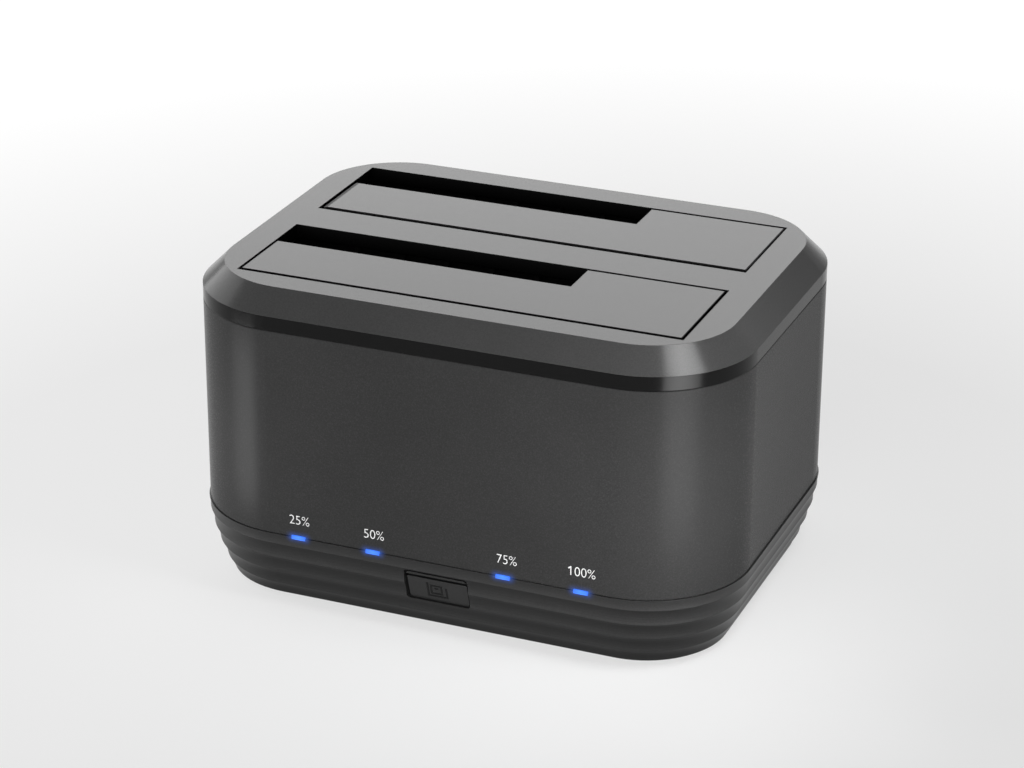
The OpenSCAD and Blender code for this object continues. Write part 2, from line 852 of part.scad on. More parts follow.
module clone_switch() {
    color("#b7b9bb")
        difference() {
            union() {
                translate([0, 0, button_z])
                    block([-switch_face / 2, switch_face / 2], [switch_y, switch_y + switch_depth],
                        [-switch_face / 2, switch_face / 2]);
                block([-switch_face / 4, switch_face / 4],
                    [switch_y + switch_depth / 2, switch_y + switch_depth], [button_z, board_under]);
            }
            translate([0, 0, button_z])
                along_y(switch_y - past, switch_y + plunger_in + button_travel + clear)
                    circle(plunger_r + running);
        }
}

module clone_switch_plunger() {
    color("#1d1d1e")
        translate([0, 0, button_z]) along_y(plunger_y, switch_y + plunger_in) circle(plunger_r);
}

// USB type B socket: sheet metal shell round a plastic insert
usb_front = panel_y + port_proud;
usb_back = usb_front - usb_depth;
usb_mouth_w = 8.6;
usb_wide_h = 6;
usb_slim_w = 5.8;
usb_slim_h = 2.8;
usb_tongue_w = 5.4;
usb_tongue_h = 2.6;
usb_slim_tongue_w = 4;
usb_slim_tongue_h = 1;
usb_tongue_back = 1.4;
usb_insert_back = 0.3;
usb_roof = 0.7;
usb_r = 0.8;

module usb_body_outline(inset) {
    rounded_rect(usb_w - 2 * inset, usb_h - 2 * inset, usb_r - inset);
}

module usb_shell() {
    color("#c4c7ca")
        difference() {
            translate([usb_x, 0, port_z]) along_y(usb_back, usb_front) usb_body_outline(0);
            translate([usb_x, 0, port_z])
                along_y(usb_back - past, usb_front + past) usb_body_outline(usb_sheet);
        }
}

module usb_insert() {
    wide_top = usb_h / 2 - usb_sheet - usb_roof;
    wide_low = wide_top - usb_wide_h;
    bevel = (usb_mouth_w - usb_slim_w) / 2;
    root = usb_front - usb_mouth_depth;
    color("#2c62b8")
        translate([usb_x, 0, port_z])
            difference() {
                along_y(usb_back, usb_front - usb_insert_back) usb_body_outline(usb_sheet);
                difference() {
                    along_y(root, usb_front + past)
                        polygon([[-usb_mouth_w / 2, wide_top], [usb_mouth_w / 2, wide_top],
                            [usb_mouth_w / 2, wide_low + bevel], [usb_slim_w / 2, wide_low],
                            [usb_slim_w / 2, wide_low - usb_slim_h],
                            [-usb_slim_w / 2, wide_low - usb_slim_h],
                            [-usb_slim_w / 2, wide_low], [-usb_mouth_w / 2, wide_low + bevel]]);
                    translate([0, 0, wide_top - usb_wide_h / 2])
                        along_y(root - past, usb_front - usb_tongue_back)
                            square([usb_tongue_w, usb_tongue_h], center = true);
                    translate([0, 0, wide_low - usb_slim_h / 2])
                        along_y(root - past, usb_front - usb_tongue_back)
                            square([usb_slim_tongue_w, usb_slim_tongue_h], center = true);
                }
            }
}

// Power inlet with its centre pin
module dc_jack() {
    color("#1c1c1d")
        difference() {
            union() {
                block([jack_x - jack_body_w / 2, jack_x + jack_body_w / 2],
                    [panel_y - panel_t - jack_body_d, panel_y - panel_t],
                    [board_under - jack_body_h, board_under]);
                translate([jack_x, 0, jack_z]) along_y(panel_y - panel_t - past, panel_y) circle(jack_r);
            }
            translate([jack_x, 0, jack_z])
                along_y(panel_y - jack_bore_depth, panel_y + past) circle(d = jack_bore);
        }
}

module dc_jack_pin() {
    length = jack_bore_depth - jack_pin_back;
    color("#c9ccd0")
        translate([jack_x, panel_y - jack_bore_depth, jack_z])
            rotate([-90, 0, 0])
                rotate_extrude()
                    polygon([[0, 0], [jack_pin_dia / 2, 0], [jack_pin_dia / 2, length - jack_pin_bevel],
                        [jack_pin_dia / 2 - jack_pin_bevel, length], [0, length]]);
}

// Power switch: a frame clipped into the panel and a rocker on a short axle
module power_switch_frame() {
    axle_room = rocker_half_h + 2 * clear + rocker_axle_bite;
    color("#19191a")
        difference() {
            translate([switch_x, 0, port_z]) {
                along_y(panel_y, panel_y + bezel_t) rounded_rect(switch_w, switch_h, bezel_r);
                along_y(panel_y - switch_body_d, panel_y + bezel_t / 2)
                    square([switch_body_w, switch_body_h], center = true);
            }
            translate([switch_x, 0, port_z])
                along_y(rocker_axle_y - rocker_r - clear, panel_y + bezel_t + past)
                    square([switch_body_w - 2 * switch_wall, 2 * (rocker_half_h + clear)], center = true);
            translate([switch_x, rocker_axle_y, port_z - axle_room])
                cylinder(r = rocker_axle_r + running, h = 2 * axle_room);
        }
}

module power_switch_terminals() {
    z_low = port_z + switch_body_h / 2;
    color("#c8a24a")
        for (k = [-1, 1])
            translate([switch_x + terminal_at * k, panel_y - switch_body_d + terminal_in, z_low])
                block([-terminal_w / 2, terminal_w / 2], [-terminal_t / 2, terminal_t / 2],
                    [0, board_under - z_low]);
}

module power_rocker() {
    rise_end = rocker_rise + rocker_r * tan(rocker_swing / 2);
    color("#202021")
        translate([switch_x, rocker_axle_y, port_z])
            rotate(rocker_swing / 2) {
                translate([0, 0, -rocker_half_h])
                    linear_extrude(2 * rocker_half_h)
                        intersection() {
                            circle(rocker_r);
                            polygon([[-rocker_r, -rocker_back], [rocker_r, -rocker_back],
                                [rocker_r, rise_end], [0, rocker_rise], [-rocker_r, rise_end]]);
                        }
                translate([0, 0, -rocker_half_h - clear - rocker_axle_bite])
                    cylinder(r = rocker_axle_r, h = 2 * (rocker_half_h + clear + rocker_axle_bite));
            }
}

// Screws
module base_screws() {
    color("#9ea1a5")
        at_columns()
            translate([0, 0, board_under - column_web - base_head_h])
                screw(base_head_r, base_head_h, base_screw_r, column_web + board_t + screw_bite);
}

module bay_screws() {
    color("#9ea1a5")
        for (sx = [-1, 1], y = [front_bay_y, rear_bay_y])
            translate([sx * bay_boss_x, y + bay_d / 2, ear_z - ear_t - bay_head_h])
                screw(bay_head_r, bay_head_h, bay_screw_r, ear_t + bay_screw_bite);
}

// Rubber feet, one near each corner
module at_foot(sx, sy) {
    translate([sx * (core_w / 2 + foot_from_core), sy * (core_d / 2 + foot_from_core), 0]) children();
}

module at_feet() {
    for (sx = [-1, 1], sy = [-1, 1]) at_foot(sx, sy) children();
}

module foot(sx, sy) {
    color("#141414")
        at_foot(sx, sy)
            rotate_extrude()
                polygon([[0, 0], [foot_r - foot_corner, 0], [foot_r, foot_corner],
                    [foot_r, z_base + foot_sunk], [0, z_base + foot_sunk]]);
}

top_cap();
middle_shell();
base_tray();
front_bay();
rear_bay();
front_flap();
rear_flap();
front_hinge_pin();
rear_hinge_pin();
front_flap_spring();
rear_flap_spring();
main_board();
front_sata_socket();
rear_sata_socket();
front_sata_contacts();
rear_sata_contacts();
bridge_chip();
clock_crystal();
capacitors();
inductors();
led_chips();
light_pipe(pipe_lights[0]);  // light_pipe_25
light_pipe(pipe_lights[1]);  // light_pipe_50
light_pipe(pipe_lights[2]);  // light_pipe_75
light_pipe(pipe_lights[3]);  // light_pipe_100
clone_button();
clone_switch();
clone_switch_plunger();
usb_shell();
usb_insert();
dc_jack();
dc_jack_pin();
power_switch_frame();
power_switch_terminals();
power_rocker();
base_screws();
bay_screws();
foot(-1, -1);  // foot_front_left
foot(1, -1);  // foot_front_right
foot(-1, 1);  // foot_rear_left
foot(1, 1);  // foot_rear_right
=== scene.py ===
# %% [markdown]
# A docking station for two bare hard drives
#
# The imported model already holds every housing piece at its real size, so this lesson dresses
# it: the finish of each surface, the printed numbers, the sign on the button, the springs,
# the contacts in the sockets, the lit windows, then a floor, lamps and a camera. Everything
# is in metres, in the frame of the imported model, with +Z up and the front facing -Y.

# %% Load the frame and keep its box
import bpy
import bmesh
import json
import math
from mathutils import Matrix, Vector
from mathutils.bvhtree import BVHTree


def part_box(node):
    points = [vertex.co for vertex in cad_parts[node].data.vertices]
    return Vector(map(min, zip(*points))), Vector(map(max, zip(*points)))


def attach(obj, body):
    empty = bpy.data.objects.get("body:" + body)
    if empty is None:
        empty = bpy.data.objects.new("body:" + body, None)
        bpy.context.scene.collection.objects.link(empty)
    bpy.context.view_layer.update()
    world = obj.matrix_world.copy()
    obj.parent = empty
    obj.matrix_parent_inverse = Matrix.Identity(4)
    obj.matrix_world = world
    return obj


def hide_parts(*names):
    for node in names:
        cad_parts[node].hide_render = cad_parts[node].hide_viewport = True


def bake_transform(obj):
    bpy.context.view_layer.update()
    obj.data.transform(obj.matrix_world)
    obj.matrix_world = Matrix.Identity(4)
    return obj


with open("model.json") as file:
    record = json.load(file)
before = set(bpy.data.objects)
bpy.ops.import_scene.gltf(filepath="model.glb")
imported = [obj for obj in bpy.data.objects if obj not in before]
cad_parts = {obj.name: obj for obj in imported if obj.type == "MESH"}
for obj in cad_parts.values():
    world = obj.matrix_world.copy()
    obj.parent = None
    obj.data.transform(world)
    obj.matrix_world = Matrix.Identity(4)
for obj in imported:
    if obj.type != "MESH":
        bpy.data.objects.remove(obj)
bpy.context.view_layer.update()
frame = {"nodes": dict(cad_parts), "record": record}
nodes = frame["nodes"]
scene = bpy.context.scene
MM = 0.001

# %% [markdown]
# The camera comes first, because every later choice is judged through it. The picture was
# taken from the right and above with a long lens, so the sides hardly converge. A camera
# could be aimed with a tracking constraint, but the measured angles are surer: they give the
# three axes of the camera, one to its right, one up and one backwards.

# %% Camera
CAMERA_PLACE = Vector((243.2, -600.4, 327.0)) * MM
CAMERA_AZIMUTH = math.radians(22.156)
CAMERA_ELEVATION = math.radians(23.758)
CAMERA_ROLL = math.radians(0.271)
LENS_MM = 108.84
SENSOR_MM = 36.0


def camera_turn(azimuth, elevation, roll):
    """Rotation whose columns are the camera's right, up and backward axes."""
    right = Vector((math.cos(azimuth), math.sin(azimuth), 0))
    level = math.cos(elevation)
    back = Vector((math.sin(azimuth) * level, -math.cos(azimuth) * level, math.sin(elevation)))
    up = back.cross(right)
    leaned = math.cos(roll) * right + math.sin(roll) * up
    return Matrix((leaned, back.cross(leaned), back)).transposed()


lens = bpy.data.cameras.new("photo_lens")
lens.lens = LENS_MM
lens.sensor_width = SENSOR_MM
camera = bpy.data.objects.new("photo_camera", lens)
turn = camera_turn(CAMERA_AZIMUTH, CAMERA_ELEVATION, CAMERA_ROLL)
camera.matrix_world = Matrix.Translation(CAMERA_PLACE) @ turn.to_4x4()
scene.collection.objects.link(camera)
scene.camera = camera
print("camera at", [round(c, 3) for c in CAMERA_PLACE], "lens", LENS_MM, "mm")

# %% [markdown]
# Helpers for every material. Colours are picked as sRGB hex values and shaders work in linear
# light, so one function converts them. One other function adds a shader node with its
# settings and its incoming links, so that each material below reads as a short list.

# %% Colour and node helpers
MIX_A, MIX_B, MIX_OUT = 6, 7, 2  # the two colours that go into a Mix node, and the one that comes out


def linear(hex_colour):
    """An sRGB hex colour as the linear colour, with alpha, that a shader takes."""
    channels = [int(hex_colour[i:i + 2], 16) / 255 for i in (1, 3, 5)]
    return [c / 12.92 if c <= 0.04045 else ((c + 0.055) / 1.055) ** 2.4 for c in channels] + [1.0]


def add(tree, kind, settings=(), **links):
    """Adds one shader node. Settings name a property or socket; a link _0 goes to socket 0."""
    made = tree.nodes.new("ShaderNode" + kind)
    for name, value in dict(settings).items():
        if isinstance(name, int) or name in made.inputs:
            made.inputs[name].default_value = value
        else:
            setattr(made, name, value)
    for name, output in links.items():
        key = int(name[1:]) if name[1:].isdigit() else name.replace("_", " ")
        tree.links.new(output, made.inputs[key])
    return made


def new_material(name):
    """An empty node material, its tree, and the object's own coordinates in metres."""
    material = bpy.data.materials.new(name)
    material.use_nodes = True
    tree = material.node_tree
    tree.nodes.clear()
    return material, tree, add(tree, "TexCoord").outputs["Object"]


def close_material(tree, shader):
    """Links the finished shader to the material's output."""
    add(tree, "OutputMaterial", Surface=shader.outputs[0])


# %% [markdown]
# Most of the object is ABS from an injection mould. The mould's walls were spark-eroded, which
# leaves a fine, even grain on the plastic: it spreads the highlights, speckles the faces a
# little and hides fingerprints. The grain of about 0.1 mm is too fine for the picture, so it
# is drawn about 0.3 mm wide. Edges of a moulding are never quite sharp, so the shader
# rounds them by a fifth of a millimetre to catch the light, and handling has rubbed them
# slightly paler. Real geometry could carry the rounding, but every edge would need it.

# %% Moulded plastic
ABS_IOR = 1.54
EDGE_ROUND = 0.2 * MM
FLOW_MM = 22.0
GRAIN_STRENGTH = 0.5
NOISE = {"From Min": 0.3, "From Max": 0.7}  # most of a noise pattern lies between these
SPECKLE = 0.16
CLOUDS = 0.04
ROUGH_SPREAD = 0.03
RUB = {"From Min": 0.99, "From Max": 0.8, "To Min": 0.0, "To Max": 0.6}  # by the turn of an edge's normal
LIGHT_BLUE = "#3f7dff"  # of the status lights, which glow in some of the plastic


def moulded(name, colour, worn, roughness, specular, grain_mm=0.3, depth_mm=0.012, ior=ABS_IOR,
            zones=None, glow=None, rim=None):
    """Injection-moulded plastic with spark-eroded grain, softened edges and flow clouds."""
    material, tree, place = new_material(name)
    grain = add(tree, "TexNoise", {"Scale": 1 / (grain_mm * MM), "Detail": 3.0, "Roughness": 0.6},
                Vector=place)
    flow = add(tree, "TexNoise", {"Scale": 1 / (FLOW_MM * MM), "Detail": 2.0}, Vector=place)
    edge = add(tree, "Bevel", {"samples": 4, "Radius": EDGE_ROUND})
    skin = edge
    if rim:
        skin = add(tree, "Bump", {"Distance": 1.0}, Height=rim(tree, place), Normal=edge.outputs[0])
    bump = add(tree, "Bump", {"Strength": GRAIN_STRENGTH, "Distance": depth_mm * MM},
               Height=grain.outputs[0], Normal=skin.outputs[0])
    facing = add(tree, "NewGeometry")
    square = add(tree, "VectorMath", {"operation": "DOT_PRODUCT"},
                 _0=edge.outputs[0], _1=facing.outputs["Normal"])
    rubbed = add(tree, "MapRange", RUB, Value=square.outputs["Value"])
    speckle = add(tree, "MapRange", {**NOISE, "To Min": 1 - SPECKLE, "To Max": 1 + SPECKLE},
                  Value=grain.outputs[0])
    clouds = add(tree, "MapRange", {**NOISE, "To Min": 1 - CLOUDS, "To Max": 1 + CLOUDS}, Value=flow.outputs[0])
    tone = add(tree, "Math", {"operation": "MULTIPLY"}, _0=speckle.outputs[0], _1=clouds.outputs[0])
    # Zones, where given, scale the grey by painted light and shade.
    if zones:
        tone = add(tree, "Math", {"operation": "MULTIPLY"}, _0=tone.outputs[0], _1=zones(tree, place))
    rub = add(tree, "Mix", {"data_type": "RGBA", MIX_A: linear(colour), MIX_B: linear(worn)},
              Factor=rubbed.outputs[0])
    shade = add(tree, "VectorMath", {"operation": "SCALE"}, _0=rub.outputs[MIX_OUT], Scale=tone.outputs[0])
    rough = add(tree, "MapRange", {**NOISE, "To Min": roughness - ROUGH_SPREAD,
                                   "To Max": roughness + ROUGH_SPREAD}, Value=grain.outputs[0])
    shader = add(tree, "BsdfPrincipled", {"IOR": ior, "Specular IOR Level": specular},
                 Base_Color=shade.outputs[0], Roughness=rough.outputs[0], Normal=bump.outputs[0])
    if glow:
        shader.inputs["Emission Color"].default_value = linear(LIGHT_BLUE)
        tree.links.new(glow(tree, place), shader.inputs["Emission Strength"])
    close_material(tree, shader)
    return material


# %% [markdown]
# Four windows in the seam show how far a copy has come, and the blue light in them also creeps
# a short way into the plastic beside them. A lamp in each window would give that too, but it
# would be noisy. Instead the shader measures how far each point is from the nearest window.

# %% Distance from the nearest lit window
WINDOW_NODES = ["light_pipe_25", "light_pipe_50", "light_pipe_75", "light_pipe_100"]
WINDOW_HALF_W = 1.65 * MM
SEAM_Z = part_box("middle_shell")[0].z
FRONT_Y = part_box("middle_shell")[0].y
window_x = [0.5 * (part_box(n)[0].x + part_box(n)[1].x) for n in WINDOW_NODES]


def past_window(tree, place):
    """Distance of a point past the end of the nearest window, along the seam."""
    along = add(tree, "SeparateXYZ", Vector=place).outputs["X"]
    nearest = None
    for x in window_x:
        offset = add(tree, "Math", {"operation": "SUBTRACT", 1: x}, _0=along)
        gap = add(tree, "Math", {"operation": "ABSOLUTE"}, _0=offset.outputs[0]).outputs[0]
        if nearest:
            gap = add(tree, "Math", {"operation": "MINIMUM"}, _0=nearest, _1=gap).outputs[0]
        nearest = gap
    return add(tree, "Math", {"operation": "SUBTRACT", 1: WINDOW_HALF_W}, _0=nearest).outputs[0]


# %% Glow beside the windows
GLOW_REACH = 2.2 * MM
GLOW_BESIDE = 0.4
GLOW_FALL = 3.0
FRONT_DEPTH = 2.0 * MM


def window_glow(tree, place):
    """Strength of the blue light in the plastic: most beside a window, none further on."""
    axes = add(tree, "SeparateXYZ", Vector=place)
    aside = add(tree, "Math", {"operation": "MAXIMUM", 1: 0.0}, _0=past_window(tree, place))
    rise = add(tree, "Math", {"operation": "SUBTRACT", 1: SEAM_Z}, _0=axes.outputs["Z"])
    flat = add(tree, "CombineXYZ", X=aside.outputs[0], Y=rise.outputs[0])
    away = add(tree, "VectorMath", {"operation": "LENGTH"}, _0=flat.outputs[0])
    fade = add(tree, "MapRange", {"From Min": 0.0, "From Max": GLOW_REACH, "To Min": 1.0, "To Max": 0.0},
               Value=away.outputs["Value"])
    soft = add(tree, "Math", {"operation": "POWER", 1: GLOW_FALL}, _0=fade.outputs[0])
    front = add(tree, "Math", {"operation": "LESS_THAN", 1: FRONT_Y + FRONT_DEPTH}, _0=axes.outputs["Y"])
    lit = add(tree, "Math", {"operation": "MULTIPLY", 1: GLOW_BESIDE}, _0=soft.outputs[0])
    return add(tree, "Math", {"operation": "MULTIPLY"}, _0=lit.outputs[0], _1=front.outputs[0]).outputs[0]


print("windows at x", [round(x / MM, 1) for x in window_x], "mm, seam at", round(SEAM_Z / MM, 1), "mm")

# %% [markdown]
# Light and shade on the cap are painted into its grey, by the way each face looks. Faces that do not
# look up, the band under the chamfer and the walls of the openings, get painted shade and look nearly
# black; the chamfer keeps the plain grey; the top is painted darker, at half the grey. One material tells
# them apart by the object's own normal, which turns with a flap as it opens.

# %% Painted shade on the cap
UPRIGHT_SHADE = 0.08
TOP_SHADE = 0.5
TO_SLANT = {"From Min": 0.15, "From Max": 0.45}  # by how far a face looks up, from 0 to 1
TO_FLAT = {"From Min": 0.85, "From Max": 0.95}


def cap_painted_shade(tree, place):
    """Painted shade: how much of its grey each face of the cap shows, by how far it looks up."""
    facing = add(tree, "TexCoord").outputs["Normal"]
    up = add(tree, "SeparateXYZ", Vector=facing).outputs["Z"]
    slant = add(tree, "MapRange", {**TO_SLANT, "To Min": UPRIGHT_SHADE, "To Max": 1.0}, Value=up)
    flat = add(tree, "MapRange", {**TO_FLAT, "To Min": 1.0, "To Max": TOP_SHADE}, Value=up)
    return add(tree, "Math", {"operation": "MULTIPLY"}, _0=slant.outputs[0], _1=flat.outputs[0]).outputs[0]


# %% [markdown]
# The flutes of the base catch the light on the upper side of each ridge and are dark below it. That
# light and shade is painted into the grey, which follows the normal: darker below a ridge, paler above.

# %% Painted light and shade on the fluted base
UNDER_RIDGE_SHADE = 0.3
OVER_RIDGE_LIGHT = 1.5
RIDGE_SIDES = {"From Min": -0.42, "From Max": 0.08}  # by how far the side of a ridge looks up


def flute_painted_light(tree, place):
    """Painted light and shade: how much of its grey each side of a ridge shows."""
    up = add(tree, "SeparateXYZ", Vector=add(tree, "TexCoord").outputs["Normal"]).outputs["Z"]
    return add(tree, "MapRange", {**RIDGE_SIDES, "To Min": UNDER_RIDGE_SHADE, "To Max": OVER_RIDGE_LIGHT},
               Value=up).outputs[0]


# %% [markdown]
# A flap needs room to swing, so its edges are chamfered. The chamfer is narrow and looks into the
# gap, which draws the black line round each flap; its grey is painted nearly black as the gap's shade.
# The chamfer is not in the imported model, so the shader leans the surface there by 45 degrees. The
# flap at the back sits a little deeper and shows more.

# %% Chamfered flap edges, with painted shade
RIMS = {"front_flap": (0.3, 0.1, 0.2), "rear_flap": (0.75, 0.7, 0.35)}  # front, left and right, in mm
RIM_SHADE = 0.05
RIM_START = 0.02 * MM
FACE_BAND = 0.05 * MM


def flap_rim(node):
    """A function that gives the height of a flap's surface, falling at 45 degrees at its edges."""
    face = [v.co for v in nodes[node].data.vertices if v.co.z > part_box(node)[1].z - FACE_BAND]
    edges = min(p.y for p in face), min(p.x for p in face), max(p.x for p in face)

    def height(tree, place):
        axes = add(tree, "SeparateXYZ", Vector=place)
        fall = None
        for axis, edge, way, width in zip("YXX", edges, (1, 1, -1), RIMS[node]):
            bound = edge + way * width * MM
            inside = add(tree, "Math", {"operation": "SUBTRACT", 1: bound}, _0=axes.outputs[axis])
            signed = add(tree, "Math", {"operation": "MULTIPLY", 1: way}, _0=inside.outputs[0])
            below = add(tree, "Math", {"operation": "MINIMUM", 1: 0.0}, _0=signed.outputs[0]).outputs[0]
            if fall:
                below = add(tree, "Math", {"operation": "MINIMUM"}, _0=fall, _1=below).outputs[0]
            fall = below
        return fall

    return height


def flap_painted_shade(node):
    """A function that gives the painted shade of a flap: the cap's, and nearly black on its chamfers."""
    def grey(tree, place):
        plain = add(tree, "MapRange", {"From Min": -RIM_START, "From Max": 0.0, "To Min": RIM_SHADE,
                                       "To Max": 1.0}, Value=flap_rim(node)(tree, place))
        return add(tree, "Math", {"operation": "MULTIPLY"}, _0=plain.outputs[0],
                   _1=cap_painted_shade(tree, place)).outputs[0]

    return grey


# Each flap's grey carries the cap's painted shade, and painted shade on its chamfers.
flap_abs = {node: moulded("satin_black_abs_" + node, "#343434", "#343434", 0.18, 0.1,
                          zones=flap_painted_shade(node), rim=flap_rim(node)) for node in RIMS}
print("flap chamfers:", RIMS)

# %% [markdown]
# With those, the other five ABS mouldings can be made. Shell, base and button have the plain grain; the
# liners of the bays are rougher, because nobody sees them.

# %% ABS mouldings
# The cap's grey carries painted shade: nearly black where a face does not look up, half on the top.
cap_abs = moulded("satin_black_abs", "#343434", "#4a4a4a", 0.18, 0.1, zones=cap_painted_shade)
shell_abs = moulded("grained_black_abs", "#2c2c2c", "#424242", 0.26, 0.03, glow=window_glow)
# The base's grey carries the painted light and shade of its flutes.
base_abs = moulded("fluted_black_abs", "#262626", "#454545", 0.36, 0.11,
                   zones=flute_painted_light, glow=window_glow)
button_abs = moulded("button_black_abs", "#222222", "#484848", 0.36, 0.11)
liner_abs = moulded("plain_black_abs", "#101010", "#1c1c1c", 0.55, 0.14, grain_mm=0.6, depth_mm=0.02)
print("ABS finishes:", [m.name for m in (cap_abs, shell_abs, base_abs, button_abs, liner_abs)])

# %% [markdown]
# Inside and at the back there are other plastics. Sockets, jack and switch are nylon with short
# glass fibres, which float up as a faint mottle. The rocker is the same nylon from a polished
# mould, so it is glossy. Chips are moulded in black epoxy filled with silica, which is matte
# and finely sandy. The feet are silicone rubber with the bloom of soft rubber on them.

# %% Nylon, epoxy and rubber
NYLON_IOR = 1.53
EPOXY_IOR = 1.55
RUBBER_IOR = 1.41
socket_nylon = moulded("glass_filled_black_nylon", "#1d1d1f", "#2c2c2e", 0.45, 0.4, 0.5, 0.015, NYLON_IOR)
switch_nylon = moulded("matt_black_nylon", "#1a1a1b", "#303031", 0.5, 0.35, 0.4, 0.015, NYLON_IOR)
rocker_nylon = moulded("polished_black_nylon", "#1c1c1d", "#2e2e2f", 0.18, 0.45, 0.8, 0.004, NYLON_IOR)
blue_nylon = moulded("blue_nylon", "#2360c4", "#4a80d8", 0.4, 0.4, 0.5, 0.012, NYLON_IOR)
chip_epoxy = moulded("silica_filled_epoxy", "#171718", "#232324", 0.6, 0.35, 0.25, 0.02, EPOXY_IOR)
ferrite = moulded("pressed_ferrite", "#3a3836", "#4c4947", 0.65, 0.35, 0.35, 0.03, EPOXY_IOR)
sleeve_vinyl = moulded("shrunk_black_vinyl", "#1b1c24", "#2a2b35", 0.3, 0.45, 1.5, 0.01, NYLON_IOR)
led_resin = moulded("cast_led_resin", "#e8e6d2", "#f2f0e0", 0.25, 0.5, 0.8, 0.006, RUBBER_IOR)
foot_rubber = moulded("silicone_rubber", "#18181a", "#262628", 0.7, 0.3, 0.35, 0.03, RUBBER_IOR)
print("other plastics:", [m.name for m in (socket_nylon, switch_nylon, rocker_nylon, blue_nylon, chip_epoxy,
                                           ferrite, sleeve_vinyl, led_resin, foot_rubber)])

# %% [markdown]
# The metals are thin sheet or wire with a plated skin: nickel on the port shell, switch can and
# crystal, gold on the drive contacts, zinc on the screws. Rolling and drawing leave long fine
# scratches, so the roughness follows a noise that is stretched along one axis. Scratches of
# some hundredths of a millimetre are drawn a tenth wide so that they show.

# %% Plated and drawn metals
SCRATCH_MM = 0.12
SCRATCH_LONG = 18.0
SCRATCH_DEEP_MM = 0.01
SCRATCH_SPREAD = 0.08
STAIN_MM = 3.0
STAINED = {"From Min": 0.45, "From Max": 0.7}


def plated(name, colour, tarnish, roughness, along="X"):
    """Plated metal with rolling scratches along one axis and a slight tarnish."""
    material, tree, place = new_material(name)
    squeeze = [1 / (SCRATCH_MM * SCRATCH_LONG * MM) if axis == along else 1 / (SCRATCH_MM * MM)
               for axis in "XYZ"]
    drawn = add(tree, "VectorMath", {"operation": "MULTIPLY", 1: squeeze}, _0=place)
    scratch = add(tree, "TexNoise", {"Scale": 1.0, "Detail": 2.0}, Vector=drawn.outputs[0])
    stain = add(tree, "TexNoise", {"Scale": 1 / (STAIN_MM * MM), "Detail": 3.0}, Vector=place)
    dulled = add(tree, "MapRange", STAINED, Value=stain.outputs[0])
    shade = add(tree, "Mix", {"data_type": "RGBA", MIX_A: linear(colour), MIX_B: linear(tarnish)},
                Factor=dulled.outputs[0])
    rough = add(tree, "MapRange", {**NOISE, "To Min": roughness - SCRATCH_SPREAD,
                                   "To Max": roughness + SCRATCH_SPREAD}, Value=scratch.outputs[0])
    bump = add(tree, "Bump", {"Strength": 0.25, "Distance": SCRATCH_DEEP_MM * MM}, Height=scratch.outputs[0])
    close_material(tree, add(tree, "BsdfPrincipled", {"Metallic": 1.0}, Base_Color=shade.outputs[MIX_OUT],
                             Roughness=rough.outputs[0], Normal=bump.outputs[0]))
    return material


nickel = plated("nickel_plated_steel", "#c9c5bd", "#a7a299", 0.28, "Y")
gold = plated("gold_plated_bronze", "#f2c877", "#d9a754", 0.22, "Z")
spring_steel = plated("drawn_spring_steel", "#b4b6b8", "#8d8f91", 0.3)
pin_steel = plated("ground_steel_pin", "#c2c4c6", "#a2a4a6", 0.2)
screw_zinc = plated("black_zinc_steel", "#4a4b4e", "#333437", 0.38, "Z")
brass = plated("rolled_brass", "#d8b468", "#b08d4a", 0.3, "Z")
print("metals:", [m.name for m in (nickel, gold, spring_steel, pin_steel, screw_zinc, brass)])

# %% [markdown]
# The circuit board is glass-fibre laminate under green solder mask, a clear lacquer that shows
# the copper tracks beneath as paler green lines. A brick pattern whose joints are the tracks,
# a quarter of a millimetre wide in runs of 6 mm, stands for a layout that nobody sees closely.

# %% Solder-masked laminate
TRACK_RUN_MM = 6.0
TRACK_PITCH_MM = 1.1
TRACK_HALF_MM = 0.12
TRACK_HIGH_MM = 0.03
LACQUER_MM = 1.5
laminate, tree, place = new_material("solder_masked_laminate")
tracks = add(tree, "TexBrick", {"Scale": 1 / MM, "Brick Width": TRACK_RUN_MM, "Row Height": TRACK_PITCH_MM,
                                "Mortar Size": TRACK_HALF_MM, "Color1": linear("#14562f"),
                                "Color2": linear("#125029"), "Mortar": linear("#2c7a45")}, Vector=place)
relief = add(tree, "Bump", {"Strength": 0.4, "Distance": TRACK_HIGH_MM * MM}, Height=tracks.outputs["Fac"])
lacquer = add(tree, "TexNoise", {"Scale": 1 / (LACQUER_MM * MM)}, Vector=place)
gloss = add(tree, "MapRange", {"To Min": 0.22, "To Max": 0.4}, Value=lacquer.outputs[0])
close_material(tree, add(tree, "BsdfPrincipled", {"IOR": EPOXY_IOR}, Base_Color=tracks.outputs["Color"],
                         Roughness=gloss.outputs[0], Normal=relief.outputs[0]))
print("laminate tracks every", TRACK_PITCH_MM, "mm")

# %% [markdown]
# Each window is the end of a clear acrylic light pipe with a blue LED behind it. The light is
# strongest in the middle of the window and fades to its ends, which the emission follows.

